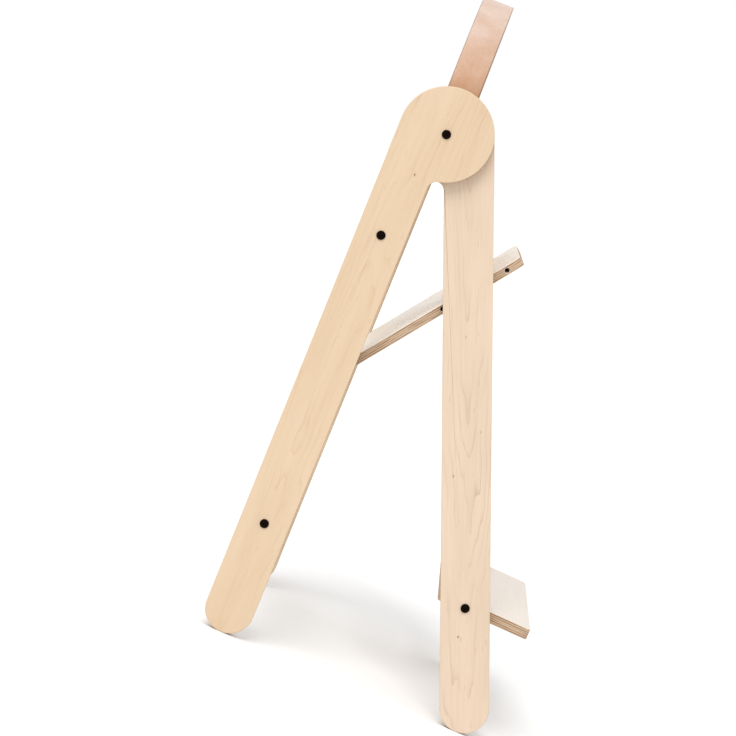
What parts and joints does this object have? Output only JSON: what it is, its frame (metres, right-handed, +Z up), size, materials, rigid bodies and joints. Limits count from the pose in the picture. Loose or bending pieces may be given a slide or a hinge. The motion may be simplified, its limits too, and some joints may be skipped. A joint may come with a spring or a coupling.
{
  "type": "folding high chair",
  "caption": "Folding plywood high chair with round leg heads, a tilting seat board, a footrest board and a leather carrying strap.",
  "frame": {"origin": "on the floor, under the middle of the chair's outline", "axes": "+X to the chair's front, +Y to the chair's left, +Z up"},
  "size_m": [0.4237, 0.4482, 0.9035],
  "materials": {
    "front_leg_ply": "birch plywood, clear matt lacquer",
    "rear_leg_ply": "birch plywood, clear matt lacquer",
    "board_ply": "birch plywood, pale matt lacquer",
    "beech_dowel": "plain beech",
    "black_bolt": "black oxide",
    "zinc_steel": "zinc plated",
    "nylon": "natural nylon",
    "strap_leather": "natural vegetable tanned"
  },
  "bodies": {
    "front_frame": {"front_leg_right": "front_leg_ply", "front_leg_left": "front_leg_ply", "footrest_board": "board_ply", "footrest_bolts": "black_bolt", "footrest_cross_nuts": "zinc_steel", "footrest_dowels": "beech_dowel", "pivot_bolts": "black_bolt", "pivot_sleeves": "zinc_steel", "pivot_spacers": "nylon", "strap_washers": "zinc_steel", "seat_bushes": "nylon"},
    "rear_frame": {"rear_leg_right": "rear_leg_ply", "rear_leg_left": "rear_leg_ply", "back_board": "board_ply", "back_bolts": "black_bolt", "back_cross_nuts": "zinc_steel", "back_dowels": "beech_dowel", "rear_stretcher": "board_ply", "stretcher_bolts": "black_bolt", "stretcher_cross_nuts": "zinc_steel", "stretcher_dowels": "beech_dowel"},
    "seat": {"seat_board": "board_ply", "seat_hinge_pins": "zinc_steel", "seat_slide_pins": "zinc_steel"},
    "strap": {"leather_strap": "strap_leather"}
  },
  "joints": [
    {"name": "fold", "type": "hinge", "parent": "front_frame", "child": "rear_frame", "pos_m": [-0.14985, 0, 0.71205], "axis": [0, 1, 0], "range_deg": [-21.66, 29.84]},
    {"name": "seat_tilt", "type": "hinge", "parent": "front_frame", "child": "seat", "pos_m": [-0.04134, 0, 0.53378], "axis": [0, 1, 0], "range_deg": [-45.53, 62.72]},
    {"name": "strap_swing", "type": "hinge", "parent": "front_frame", "child": "strap", "pos_m": [-0.14985, 0, 0.71205], "axis": [0, 1, 0], "range_deg": [-75, 75]}
  ],
  "couplings": [
    {"joint": "seat_tilt", "follows": "fold", "ratio": 2.1017}
  ]
}
